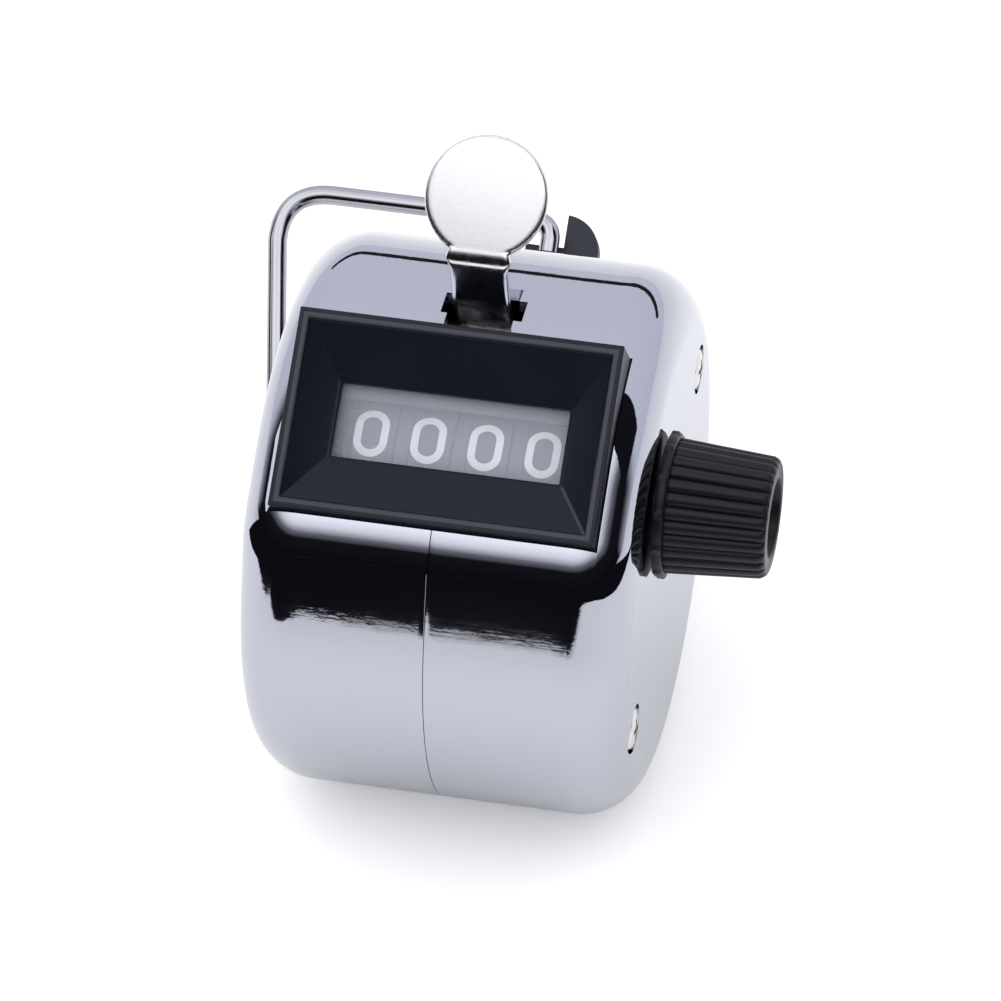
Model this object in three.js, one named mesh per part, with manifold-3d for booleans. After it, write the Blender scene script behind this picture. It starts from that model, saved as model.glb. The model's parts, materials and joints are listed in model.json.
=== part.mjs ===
// Hand tally counter: chromed drum case in two halves, black window bezel, four number wheels with
// transfer pinions, thumb lever with drive pawl, reset knob, and a swinging finger loop at the back.
//
// Millimetres. The part stands on a small flat under the drum: +X to the knob, +Y to the back, +Z up.
// Everything is laid out in the window's own frame (x across, y up the window, z out of the window)
// with the drum's axis along x through its origin. One turned group then stands the counter up.
import * as THREE from "three";
import { mergeVertices } from "three/addons/utils/BufferGeometryUtils.js";
import Module from "manifold-3d";

const wasm = await Module();
wasm.setup();

// ---------------------------------------------------------------- driving dimensions
const TILT = 38.2; // degrees that the window leans back from facing straight up to the front
const CASE = { r: 21.4, half: 15, wall: 1.2, fillet: 4.7, cornerR: 1.8, seam: 0.15, flat: 10 };
const LAND = { bend: 37.2 }; // the window land leaves the drum at its top and turns down this far
const WINDOW = { w: 24.7, h: 15.4, u: 2.4, rim: 22.6, back: 18.3, skirt: 16.6, lip: 0.75 };
const OPENING = { w: 17.4, h: 5.7, n: 20.1 };
const LENS = { w: 19.4, h: 7.6, t: 0.8, n: 18.5 };
const SLOT = { x: 0.25, w: 6.7, u0: 12.0, u1: 15.8, neckW: 4.7 };
const GAP = 0.3; // clearance between neighbours

const AXLE = { u: 1.2, n: 9.8, d: 2.4 }; // wheel shaft
const WHEEL = { r: 7.8, pitch: 4.38, rim: 3.2, gearW: 0.9, gearTip: 7.2, teeth: 20, web: 1.1 };
const RATCHET = { tip: 4.0, root: 3.2, teeth: 10, x0: 8.95, x1: 9.75 };
const PINION = { u: -8.1, n: 12.9, d: 1.6, tip: 2.5, root: 1.9, teeth: 8, w: 0.9 };
const PIVOT = { u: 11.8, n: 10.4, d: 1.8 }; // thumb lever's pin
const PLATE = { x0: 12.3, t: 1.0 };
const POSTS = { rear: [14.3, -0.5], lower: [-15.3, 4.5] }; // also the case screws
const POST = { d: 3.6, hole: 2.1, depth: 4.2 };
const SCREW = { head: 3.3, headH: 0.6, shank: 1.5, x: 14.7, pocket: 3.9 };

const LEVER = { t: 0.8, padD: 9.4, padU: 19.9, padN: 23.5, padTilt: 9, neck: 4.5, hub: 4.2 };
const PAWL = { u: -3.6, n: 2.4, tipU: -3.2, tipN: 8.3, pin: 1.4 };
const KNOB = { x0: 15.3, len: 8.5, flange: 11.7, flangeT: 0.9, base: 10.4, tip: 9.3, socket: 5.9, flutes: 28 };
const LOOP = {
  wire: 1.6, x: -1.75, n: -22.6, top: 30.1, bottom: 1.4, left: -24.4, corner: 4.4, elbow: 1.7, lean: 3.4, end: 4.9,
};
const BRACKET = {
  n0: -24, n1: -25.6, w: 6, x: -0.9, sleeve: 3.1, sleeveL: 2.9, u0: 4.5, u1: 14, rivetX: 1.6, rivetU: 9,
};

// ---------------------------------------------------------------- materials
const finish = (color, metalness, roughness, extra = {}) => () =>
  new THREE.MeshStandardMaterial({ color, metalness, roughness, ...extra });
const chrome = finish(0xd5d8e0, 1, 0.08);
const nickel = finish(0xd9d6d6, 1, 0.3);
const steel = finish(0xa8abb0, 1, 0.35);
const brass = finish(0xb59a55, 1, 0.35);
const blackPlastic = finish(0x17191d, 0, 0.45);
const greyPlastic = finish(0x8e919c, 0, 0.5);
const clear = finish(0xe8ecf2, 0, 0.1, { transparent: true, opacity: 0.3 });

// ---------------------------------------------------------------- solids
const V = (x, y, z) => new THREE.Vector3(x, y, z);
const rad = THREE.MathUtils.degToRad;

function solid(geometry) {
  const g = (geometry.index ? geometry.toNonIndexed() : geometry.clone());
  g.deleteAttribute("normal");
  g.deleteAttribute("uv");
  const merged = mergeVertices(g, 1e-4);
  return new wasm.Manifold(new wasm.Mesh({
    numProp: 3,
    vertProperties: merged.attributes.position.array,
    triVerts: new Uint32Array(merged.index.array),
  }));
}

function geometryOf(body) {
  const mesh = body.getMesh();
  const g = new THREE.BufferGeometry();
  g.setAttribute("position", new THREE.BufferAttribute(mesh.vertProperties.slice(), 3));
  g.setIndex(new THREE.BufferAttribute(mesh.triVerts.slice(), 1));
  const flat = g.toNonIndexed();
  flat.computeVertexNormals();
  return flat;
}

const join = (...geometries) => geometryOf(geometries.map(solid).reduce((a, b) => a.add(b)));
const cut = (geometry, ...tools) => geometryOf(tools.map(solid).reduce((a, b) => a.subtract(b), solid(geometry)));
const meet = (a, b) => geometryOf(solid(a).intersect(solid(b)));

// A box from its least and greatest corners.
function box(x0, x1, y0, y1, z0, z1) {
  return new THREE.BoxGeometry(x1 - x0, y1 - y0, z1 - z0)
    .translate((x0 + x1) / 2, (y0 + y1) / 2, (z0 + z1) / 2);
}

// A rod along x between x0 and x1, centred on (u, n).
function rod(d, x0, x1, u, n, sides = 20) {
  return new THREE.CylinderGeometry(d / 2, d / 2, x1 - x0, sides)
    .rotateZ(Math.PI / 2).translate((x0 + x1) / 2, u, n);
}

// A body of revolution about the x line through (u, n); profile points are [radius, x], rising in x.
function turned(profile, u, n, sides = 32) {
  const points = profile.map(([r, x]) => new THREE.Vector2(r, x));
  return new THREE.LatheGeometry(points, sides).rotateZ(-Math.PI / 2).translate(0, u, n);
}

// A flat plate cut to an outline in the window's side plane, points [u, n], from x0 to x1.
function sidePlate(outline, x0, x1) {
  const shape = outline instanceof THREE.Shape
    ? outline : new THREE.Shape(outline.map(([u, n]) => new THREE.Vector2(u, n)));
  const g = new THREE.ExtrudeGeometry(shape, { depth: x1 - x0, bevelEnabled: false, curveSegments: 10 });
  // shape x, y and depth become y, z and x
  return g.applyMatrix4(new THREE.Matrix4().makeBasis(V(0, 1, 0), V(0, 0, 1), V(1, 0, 0))).translate(x0, 0, 0);
}

// A straight bar with round ends between two points of the side plane.
function capsule([u0, n0], [u1, n1], width) {
  const a = Math.atan2(n1 - n0, u1 - u0), r = width / 2;
  const shape = new THREE.Shape();
  shape.absarc(u0, n0, r, a + Math.PI / 2, a + 1.5 * Math.PI, false);
  shape.absarc(u1, n1, r, a - Math.PI / 2, a + Math.PI / 2, false);
  return shape;
}

// Stacked rings of equal count, closed with a fan at each end.
function loft(rings) {
  const count = rings[0].length;
  const verts = rings.flat();
  const mean = ring => ring.reduce((a, p) => a.add(p), V(0, 0, 0)).divideScalar(count);
  verts.push(mean(rings[0].map(p => p.clone())), mean(rings.at(-1).map(p => p.clone())));
  const index = [];
  for (let k = 0; k + 1 < rings.length; k++) {
    for (let i = 0; i < count; i++) {
      const j = (i + 1) % count, a = k * count, b = a + count;
      index.push(a + i, a + j, b + i, a + j, b + j, b + i);
    }
  }
  const first = verts.length - 2, last = verts.length - 1, end = (rings.length - 1) * count;
  for (let i = 0; i < count; i++) {
    const j = (i + 1) % count;
    index.push(first, j, i, last, end + i, end + j);
  }
  const g = new THREE.BufferGeometry().setFromPoints(verts);
  g.setIndex(index);
  return g;
}

// ---------------------------------------------------------------- case
// The drum's side outline for a unit radius: a circle, with a flat land under the window that turns
// down through a small bend and meets the circle again.
function drumOutline(sides) {
  const bend = rad(LAND.bend), corner = bend / 2, soft = CASE.cornerR / CASE.r;
  const points = [];
  for (let i = 0; i <= sides; i++) { // from the land's far end round the drum to its top
    const a = bend + ((2 * Math.PI - bend) * i) / sides;
    points.push([-Math.sin(a), Math.cos(a)]);
  }
  const trim = soft * Math.tan(corner); // where the bend starts on each flat
  const reach = Math.tan(corner) - trim;
  const centre = [-reach, 1 - soft];
  for (let i = 0; i <= 4; i++) {
    const a = (bend * i) / 4;
    points.push([centre[0] - soft * Math.sin(a), centre[1] + soft * Math.cos(a)]);
  }
  return points;
}

function drum(r, half, fillet, sides, steps) {
  const outline = drumOutline(sides);
  const ring = (x, radius) => outline.map(([u, n]) => V(x, u * radius, n * radius));
  const rings = [];
  for (const side of [-1, 1]) {
    for (let k = 0; k <= steps; k++) {
      const a = (Math.PI / 2) * (side < 0 ? k / steps : 1 - k / steps);
      rings.push(ring(side * (half - fillet + fillet * Math.cos(a)), r - fillet + fillet * Math.sin(a)));
    }
  }
  return loft(rings);
}

const UP = V(0, Math.sin(rad(TILT)), Math.cos(rad(TILT))); // the part's +Z seen in the window's frame
const FLOOR = Math.sqrt(CASE.r ** 2 - (CASE.flat / 2) ** 2); // drum axis above the resting flat

// Everything below the plane that lies `drop` under the drum's axis.
function below(drop) {
  return new THREE.BoxGeometry(60, 60, 20).translate(0, 0, -drop - 10).rotateX(-rad(TILT));
}

function caseShell() {
  const outer = cut(drum(CASE.r, CASE.half, CASE.fillet, 60, 4), below(FLOOR));
  const inner = cut(drum(CASE.r - CASE.wall, CASE.half - CASE.wall, CASE.fillet - CASE.wall, 40, 2),
    below(FLOOR - CASE.wall));
  const w = WINDOW.w / 2 + GAP, h = WINDOW.h / 2 + GAP;
  const tools = [
    inner,
    box(-w, w, WINDOW.u - h, WINDOW.u + h, 12, 30),
    box(SLOT.x - SLOT.w / 2, SLOT.x + SLOT.w / 2, SLOT.u0, SLOT.u1, 8, 30),
    box(SLOT.x - SLOT.neckW / 2, SLOT.x + SLOT.neckW / 2, WINDOW.u, SLOT.u0 + 0.5, 12, 30),
    rod(3.4, 10, 20, AXLE.u, AXLE.n, 24),
  ];
  for (const [u, n] of Object.values(POSTS)) {
    for (const side of [-1, 1]) {
      const span = (a, b) => (side > 0 ? [a, b] : [-b, -a]);
      tools.push(rod(SCREW.shank + 2 * GAP, ...span(12, 18), u, n, 16));
      tools.push(rod(SCREW.pocket, ...span(14.4, 18), u, n, 20));
    }
  }
  for (const side of [-1, 1]) {
    tools.push(new THREE.CylinderGeometry(1.1, 1.1, 8, 16).rotateX(Math.PI / 2)
      .translate(side * BRACKET.rivetX, BRACKET.rivetU, -19));
  }
  return cut(outer, ...tools);
}

function caseHalf(side) {
  const far = 30;
  const keep = side > 0 ? box(CASE.seam, far, -far, far, -far, far) : box(-far, -CASE.seam, -far, far, -far, far);
  return meet(caseShell(), keep);
}

function caseScrew(side, [u, n]) {
  const head = turned([[0, 0], [SCREW.head / 2, 0], [SCREW.head / 2, SCREW.headH * 0.5],
    [SCREW.head * 0.36, SCREW.headH], [0, SCREW.headH]], 0, 0, 24).translate(SCREW.x, 0, 0);
  const shank = rod(SCREW.shank, 9.9, SCREW.x + 0.2, 0, 0, 14);
  const cross = [0, 1].map(k => new THREE.BoxGeometry(0.9, 0.34, 1.7).rotateX((k * Math.PI) / 2 + 0.6)
    .translate(SCREW.x + SCREW.headH + 0.1, 0, 0));
  const g = cut(join(head, shank), ...cross);
  return (side > 0 ? g : g.rotateY(Math.PI)).translate(0, u, n);
}

// ---------------------------------------------------------------- window
// A four-sided tapering void between two rectangles facing out of the window.
function hopper(w0, h0, n0, w1, h1, n1) {
  const rect = (w, h, n) => [[-1, -1], [1, -1], [1, 1], [-1, 1]]
    .map(([i, j]) => V((i * w) / 2, WINDOW.u + (j * h) / 2, n));
  return loft([rect(w0, h0, n0), rect(w1, h1, n1)]);
}

function windowBezel() {
  const { w, h, u, rim, back, skirt, lip } = WINDOW;
  const block = box(-w / 2, w / 2, u - h / 2, u + h / 2, skirt, rim);
  const pocket = box(-w / 2 + 1.2, w / 2 - 1.2, u - h / 2 + 1.2, u + h / 2 - 1.2, skirt - 1, back);
  const steep = (rim - OPENING.n) / (rim - OPENING.n + 0.6); // carries the funnel's slope past the rim
  const wide = w - 2 * lip, high = h - 2 * lip;
  const funnel = hopper(OPENING.w, OPENING.h, OPENING.n,
    OPENING.w + (wide - OPENING.w) / steep, OPENING.h + (high - OPENING.h) / steep, rim + 0.6);
  const throat = box(-OPENING.w / 2, OPENING.w / 2, u - OPENING.h / 2, u + OPENING.h / 2, back - 1, OPENING.n + 0.01);
  const seat = box(-LENS.w / 2 - GAP, LENS.w / 2 + GAP, u - LENS.h / 2 - GAP, u + LENS.h / 2 + GAP,
    back - 1, LENS.n + LENS.t + GAP / 2);
  return cut(block, pocket, funnel, throat, seat);
}

function windowLens() {
  return box(-LENS.w / 2, LENS.w / 2, WINDOW.u - LENS.h / 2, WINDOW.u + LENS.h / 2, LENS.n, LENS.n + LENS.t);
}

// ---------------------------------------------------------------- movement
const mirrorSpan = (side, a, b) => (side > 0 ? [a, b] : [-b, -a]);

function framePlate(side) {
  const outline = [[17, -2.6], [17.3, 1.6], [15.4, 8.8], [13.3, 12.2], [10.6, 13.2], [-4, 16], [-9.4, 15.2],
    [-11.6, 12.6], [-16.2, 7.2], [-17.4, 3.6], [-16.2, 1.8], [-12, 0.6], [0, -3.4], [12, -4.2]];
  const x = mirrorSpan(side, PLATE.x0, PLATE.x0 + PLATE.t), through = [x[0] - 1, x[1] + 1];
  const holes = [
    rod(AXLE.d + 2 * GAP, ...through, AXLE.u, AXLE.n),
    rod(PINION.d + 2 * GAP, ...through, PINION.u, PINION.n, 14),
    rod(PIVOT.d + 2 * GAP, ...through, PIVOT.u, PIVOT.n, 14),
    ...Object.values(POSTS).map(([u, n]) => rod(POST.hole, ...through, u, n, 14)),
    rod(5, ...through, 4, 1.6, 18), // lightening hole
  ];
  return cut(sidePlate(outline, ...x), ...holes);
}

function framePost([u, n]) {
  const end = PLATE.x0 - GAP;
  const holes = [-1, 1].map(s => rod(POST.hole, ...mirrorSpan(s, end - POST.depth, end + 1), u, n, 14));
  return cut(rod(POST.d, -end, end, u, n, 20), ...holes);
}

function gearOutline(teeth, tip, root, u, n, phase = 0) {
  const points = [];
  for (let i = 0; i < teeth; i++) {
    for (const [f, r] of [[0.0, root], [0.4, root], [0.7, tip]]) {
      const a = ((i + f + phase) / teeth) * 2 * Math.PI;
      points.push([u + r * Math.cos(a), n + r * Math.sin(a)]);
    }
  }
  return points;
}

// One number wheel: rim, web and hub turned together, with the carry gear beside the rim.
function numberWheel(x, units) {
  const rim0 = x - WHEEL.pitch / 2 + GAP / 2 + WHEEL.gearW, rim1 = rim0 + WHEEL.rim, bore = AXLE.d / 2 + GAP;
  const mid = (rim0 + rim1) / 2, web = WHEEL.web / 2, gear0 = rim0 - WHEEL.gearW + 0.05;
  const body = turned([[bore, gear0], [3.1, gear0], [3.1, mid - web], [6.6, mid - web], [6.6, rim0],
    [WHEEL.r, rim0], [WHEEL.r, rim1], [6.6, rim1], [6.6, mid + web], [3.1, mid + web], [3.1, rim1],
    [bore, rim1], [bore, gear0]], AXLE.u, AXLE.n, 30);
  const gearBlank = sidePlate(gearOutline(WHEEL.teeth, WHEEL.gearTip, 6.5, AXLE.u, AXLE.n), gear0, rim0 + 0.2);
  const gear = cut(gearBlank, rod(11.6, gear0 - 1, rim1, AXLE.u, AXLE.n, 24));
  if (!units) return join(body, gear);
  // the units wheel also carries the drive ratchet on its outer side
  const saw = [];
  for (let i = 0; i < RATCHET.teeth; i++) {
    for (const [f, r] of [[0, RATCHET.tip], [0.06, RATCHET.root], [0.55, (RATCHET.tip + RATCHET.root) / 2]]) {
      const a = (-(i + f) / RATCHET.teeth) * 2 * Math.PI;
      saw.push([AXLE.u + r * Math.cos(a), AXLE.n + r * Math.sin(a)]);
    }
  }
  const ratchet = cut(sidePlate(saw.reverse(), rim1 - 0.6, RATCHET.x1), rod(2 * bore, 5, 12, AXLE.u, AXLE.n, 30));
  return join(body, gear, ratchet);
}

function transferPinion(x) {
  const at = x - WHEEL.pitch / 2 + GAP / 2 + 0.05; // in line with the carry gear of the wheel it turns
  const teeth = sidePlate(gearOutline(PINION.teeth, PINION.tip, PINION.root, PINION.u, PINION.n, 0.3),
    at, at + WHEEL.gearW - 0.1);
  const hub = rod(3, at - 1.6, at + 1.9, PINION.u, PINION.n, 18);
  return cut(join(teeth, hub), rod(PINION.d + 2 * GAP, at - 3, at + 4, PINION.u, PINION.n, 16));
}

// ---------------------------------------------------------------- thumb lever
// Pad, bend and neck are one strip of sheet that comes in through the slot and wraps the pivot pin.
function thumbLever() {
  const t = LEVER.t, a = rad(LEVER.padTilt);
  const face = [Math.cos(a), Math.sin(a)]; // up along the pad, in [u, n]
  const foot = [LEVER.padU - face[0] * LEVER.padD * 0.42, LEVER.padN - face[1] * LEVER.padD * 0.42];
  const line = [[PIVOT.u + 0.4, PIVOT.n + 1.2], [12.85, 17.2], [15.35, 22.2], [15.75, 22.75], foot,
    [LEVER.padU, LEVER.padN]];
  const strip = ribbon(line, t, -LEVER.neck / 2, LEVER.neck / 2);
  const pad = new THREE.CylinderGeometry(LEVER.padD / 2, LEVER.padD / 2, t, 48).rotateX(Math.PI / 2 + a)
    .translate(0, LEVER.padU, LEVER.padN);
  const hub = rod(LEVER.hub, -3.2, 10.8, PIVOT.u, PIVOT.n, 24);
  const elbow = [3.6, 2.0];
  const arm = [[[PIVOT.u, PIVOT.n], elbow], [elbow, [PAWL.u, PAWL.n]]]
    .map(([p, q]) => sidePlate(capsule(p, q, 2.6), 10.0, 10.8));
  return cut(join(strip, pad, hub, ...arm),
    rod(PIVOT.d + 2 * GAP, -5, 12, PIVOT.u, PIVOT.n, 20),
    rod(PAWL.pin + 0.3, 9, 12, PAWL.u, PAWL.n, 16));
}

// A strip of thickness t that follows a line in the side plane, between x0 and x1.
function ribbon(line, t, x0, x1) {
  const offset = side => line.map((p, i) => {
    const a = line[Math.max(i - 1, 0)], b = line[Math.min(i + 1, line.length - 1)];
    const d = Math.hypot(b[0] - a[0], b[1] - a[1]);
    return [p[0] - (side * t * (b[1] - a[1])) / (2 * d), p[1] + (side * t * (b[0] - a[0])) / (2 * d)];
  });
  return sidePlate([...offset(-1), ...offset(1).reverse()], x0, x1);
}

function drivePawl() {
  const outline = [[PAWL.u - 1.3, PAWL.n - 0.6], [PAWL.u + 1.1, PAWL.n - 0.8], [PAWL.u + 1.2, PAWL.n + 1],
    [PAWL.tipU + 0.25, PAWL.tipN], [PAWL.tipU - 0.35, PAWL.tipN], [PAWL.u - 1.3, PAWL.n + 1.2]];
  return cut(sidePlate(outline, RATCHET.x0, RATCHET.x1), rod(PAWL.pin + 0.3, 8, 11, PAWL.u, PAWL.n, 16));
}

function pawlPin() {
  return rod(PAWL.pin, RATCHET.x0 - 0.1, 11.1, PAWL.u, PAWL.n, 16);
}

function returnSpring() {
  const coil = turned([[1.35, -8.8], [2.05, -8.8], [2.05, -3.7], [1.35, -3.7], [1.35, -8.8]],
    PIVOT.u, PIVOT.n, 20);
  const leg = (x, angle) => new THREE.CylinderGeometry(0.3, 0.3, 3.2, 8).translate(0, 1.6, 0)
    .rotateX(angle).translate(x, PIVOT.u, PIVOT.n).translate(0, 1.7 * Math.sin(angle), -1.7 * Math.cos(angle));
  return join(coil, leg(-8.4, -1.2), leg(-4.1, 1.5));
}

function detentSpring() {
  return ribbon([[12.2, 1.2], [9.4, 3.9], [6.2, 5.6], [5.0, 7.0]], 0.35, RATCHET.x0, RATCHET.x1);
}

// ---------------------------------------------------------------- knob
function resetKnob() {
  const { x0, len, flange, flangeT, base, tip, socket } = KNOB;
  const x1 = x0 + len;
  const points = [];
  for (const [x, d] of [[x0 + flangeT - 0.2, base], [x1 - 0.5, tip], [x1, tip - 0.9]]) {
    const ring = [];
    for (let i = 0; i < KNOB.flutes * 4; i++) { // shallow round flutes
      const a = (i / (KNOB.flutes * 4)) * 2 * Math.PI;
      const r = (d / 2) * (i % 4 < 2 ? 1 : 0.93);
      ring.push(V(x, AXLE.u + r * Math.cos(a), AXLE.n + r * Math.sin(a)));
    }
    points.push(ring);
  }
  const grip = loft(points);
  const collar = rod(flange, x0, x0 + flangeT, AXLE.u, AXLE.n, 48);
  const cup = rod(socket, x1 - 5, x1 + 1, AXLE.u, AXLE.n, 32);
  const bore = rod(AXLE.d + 2 * GAP, x0 - 1, x1 - 4, AXLE.u, AXLE.n, 20);
  return cut(join(grip, collar), cup, bore);
}

// ---------------------------------------------------------------- finger loop and bracket
function loopPath() {
  const { x, n, top, bottom, left, corner, elbow, lean, end } = LOOP;
  const path = new THREE.CurvePath();
  const line = (a, b) => path.add(new THREE.LineCurve3(V(...a, n), V(...b, n)));
  const turn = (a, c, b) => path.add(new THREE.QuadraticBezierCurve3(V(...a, n), V(...c, n), V(...b, n)));
  line([x, top - end], [x, top - elbow]);
  turn([x, top - elbow], [x, top], [x - elbow, top]);
  line([x - elbow, top], [left + corner, top]);
  turn([left + corner, top], [left, top], [left + 0.3, top - corner]);
  // the outer leg leans in towards its lower end
  line([left + 0.3, top - corner], [left + lean, bottom + corner]);
  turn([left + lean, bottom + corner], [left + lean + 0.3, bottom], [left + corner + lean, bottom]);
  line([left + corner + lean, bottom], [x - elbow, bottom]);
  turn([x - elbow, bottom], [x, bottom], [x, bottom + elbow]);
  line([x, bottom + elbow], [x, bottom + end]);
  return path;
}

function fingerLoop() {
  const section = new THREE.Shape().absarc(0, 0, LOOP.wire / 2, 0, 2 * Math.PI, false);
  return new THREE.ExtrudeGeometry(section, {
    steps: 60, curveSegments: 5, bevelEnabled: false, extrudePath: loopPath(),
  });
}

function loopBracket() {
  const { n0, n1, w, sleeve, sleeveL, u0, u1 } = BRACKET;
  const r = w / 2, mid = (LOOP.top + LOOP.bottom) / 2, reach = (LOOP.top - LOOP.bottom) / 2 + 1.1 - r;
  const outline = new THREE.Shape();
  outline.absarc(BRACKET.x, mid + reach, r, 0, Math.PI, false);
  outline.absarc(BRACKET.x, mid - reach, r, Math.PI, 2 * Math.PI, false);
  const plate = new THREE.ExtrudeGeometry(outline, { depth: n0 - n1, bevelEnabled: false, curveSegments: 14 })
    .translate(0, 0, n1);
  const saddle = box(-r, r, u0, u1, n0 - 0.2, -12);
  const parts = [plate, saddle];
  const tools = [drum(CASE.r + GAP, CASE.half + GAP, CASE.fillet, 64, 3)];
  for (const s of [-1, 1]) {
    const bend = mid + s * ((LOOP.top - LOOP.bottom) / 2 - LOOP.elbow);
    const end = bend - s * 1.1;
    const from = Math.min(end, end - s * sleeveL), to = Math.max(end, end - s * sleeveL);
    parts.push(new THREE.CylinderGeometry(sleeve / 2, sleeve / 2, sleeveL, 24)
      .translate(LOOP.x, (from + to) / 2, LOOP.n));
    parts.push(box(LOOP.x - 0.9, LOOP.x + 0.9, from + 0.3, to - 0.3, n0 - 0.2, LOOP.n));
    tools.push(new THREE.CylinderGeometry(LOOP.wire / 2 + GAP, LOOP.wire / 2 + GAP, sleeveL + 4, 20)
      .translate(LOOP.x, (from + to) / 2, LOOP.n));
    // the plate's end is cut away on the side where the loop swings back
    tools.push(s > 0 ? box(-9, LOOP.x + 1, bend, 40, n1 - 1, n0 + 0.4)
      : box(-9, LOOP.x + 1, -20, bend, n1 - 1, n0 + 0.4));
    tools.push(new THREE.CylinderGeometry(1.1, 1.1, 8.6, 16).rotateX(Math.PI / 2)
      .translate(s * BRACKET.rivetX, BRACKET.rivetU, -20.6));
  }
  return cut(join(...parts), ...tools);
}

function bracketRivet(side) {
  const shank = new THREE.CylinderGeometry(0.8, 0.8, 8, 14).rotateX(Math.PI / 2).translate(0, 0, -20.6);
  const head = new THREE.CylinderGeometry(1.35, 1.35, 0.7, 18).rotateX(Math.PI / 2).translate(0, 0, -16.5);
  return join(shank, head).translate(side * BRACKET.rivetX, BRACKET.rivetU, 0);
}

// ---------------------------------------------------------------- assembly
const counter = new THREE.Group();
counter.name = "hand_tally_counter";
const tilted = new THREE.Group();
tilted.rotation.x = rad(TILT);
tilted.position.z = FLOOR;
counter.add(tilted);

function piece(name, geometry, material) {
  const mesh = new THREE.Mesh(geometry, material());
  mesh.name = name;
  tilted.add(mesh);
}

piece("case_left", caseHalf(-1), chrome);
piece("case_right", caseHalf(1), chrome);
piece("window_bezel", windowBezel(), blackPlastic);
piece("window_lens", windowLens(), clear);
for (const [place, at] of Object.entries(POSTS)) {
  piece(`case_screw_right_${place}`, caseScrew(1, at), nickel);
  piece(`case_screw_left_${place}`, caseScrew(-1, at), nickel);
  piece(`frame_post_${place}`, framePost(at), steel);
}
piece("frame_plate_left", framePlate(-1), steel);
piece("frame_plate_right", framePlate(1), steel);

["thousands", "hundreds", "tens", "units"].forEach((name, i) => {
  const x = (i - 1.5) * WHEEL.pitch;
  piece(`wheel_${name}`, numberWheel(x, name === "units"), greyPlastic);
  if (name !== "units") piece(`pinion_${name}`, transferPinion(x), brass);
});
piece("wheel_shaft", rod(AXLE.d, -13.4, KNOB.x0 + KNOB.len - 5.2, AXLE.u, AXLE.n, 24), steel);
piece("shaft_bush_left", turned([[1.5, -11.9], [2.6, -11.9], [2.6, -9.1], [1.5, -9.1], [1.5, -11.9]],
  AXLE.u, AXLE.n, 20), brass);
piece("shaft_bush_right", turned([[1.5, 10.1], [2.6, 10.1], [2.6, 12.0], [1.5, 12.0], [1.5, 10.1]],
  AXLE.u, AXLE.n, 20), brass);
piece("pinion_shaft", rod(PINION.d, -13.4, 13.4, PINION.u, PINION.n, 16), steel);
piece("lever_pivot_pin", rod(PIVOT.d, -13.4, 13.4, PIVOT.u, PIVOT.n, 16), steel);
piece("thumb_lever", thumbLever(), nickel);
piece("drive_pawl", drivePawl(), steel);
piece("pawl_pin", pawlPin(), steel);
piece("return_spring", returnSpring(), steel);
piece("detent_spring", detentSpring(), steel);
piece("reset_knob", resetKnob(), blackPlastic);
piece("finger_loop", fingerLoop(), chrome);
piece("loop_bracket", loopBracket(), blackPlastic);
piece("bracket_rivet_left", bracketRivet(-1), steel);
piece("bracket_rivet_right", bracketRivet(1), steel);

// The origin goes to the middle of the outline box, at the floor.
const middle = new THREE.Box3().setFromObject(counter, true).getCenter(V(0, 0, 0));
tilted.position.x -= middle.x;
tilted.position.y -= middle.y;

export default counter;
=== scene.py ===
"""Finished looks of a hand tally counter, built as a Blender add-on around its packed frame.

Pieces are modelled in millimetres in the window's own frame: x across, y up the window, z out of it,
with the drum's axis along x through the origin. A single placing matrix then stands them up.
"""
import json
import math

import bmesh
import bpy
from bpy.props import FloatProperty, FloatVectorProperty, IntProperty, PointerProperty
from mathutils import Matrix, Vector


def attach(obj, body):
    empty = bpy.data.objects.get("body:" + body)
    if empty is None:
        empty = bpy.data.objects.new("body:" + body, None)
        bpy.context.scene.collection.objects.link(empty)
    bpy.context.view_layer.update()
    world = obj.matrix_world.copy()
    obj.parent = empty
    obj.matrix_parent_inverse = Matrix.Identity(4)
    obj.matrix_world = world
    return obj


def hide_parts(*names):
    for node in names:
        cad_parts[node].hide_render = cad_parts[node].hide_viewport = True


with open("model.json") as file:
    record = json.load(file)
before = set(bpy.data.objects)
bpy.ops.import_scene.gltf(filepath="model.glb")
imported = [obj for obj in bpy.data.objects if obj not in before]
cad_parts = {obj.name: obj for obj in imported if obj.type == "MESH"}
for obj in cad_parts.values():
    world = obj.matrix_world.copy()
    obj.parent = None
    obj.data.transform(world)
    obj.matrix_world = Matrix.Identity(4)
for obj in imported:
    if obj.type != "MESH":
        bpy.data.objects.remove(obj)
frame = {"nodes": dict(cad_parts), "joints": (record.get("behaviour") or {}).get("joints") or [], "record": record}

bl_info = {
    "name": "Hand Tally Counter",
    "version": (1, 0, 0),
    "blender": (4, 5, 0),
    "location": "View3D > Sidebar > Tally",
    "description": "Builds the finished pieces and materials of a hand tally counter",
    "category": "Object",
}

MM = 0.001

# ------------------------------------------------------------------ the frame's own geometry
JOINTS = {joint["name"]: joint for joint in frame["joints"]}
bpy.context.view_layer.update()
AXLE = (1.2, 9.8)  # wheel shaft, up the window and out of it from the drum's axis
PIVOT = (11.8, 10.4)  # thumb lever's pin
SCREWS = {"rear": (14.3, -0.5), "lower": (-15.3, 4.5)}
PITCH = 4.38  # from one number wheel to the next
WHEELS = ("thousands", "hundreds", "tens", "units")


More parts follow.
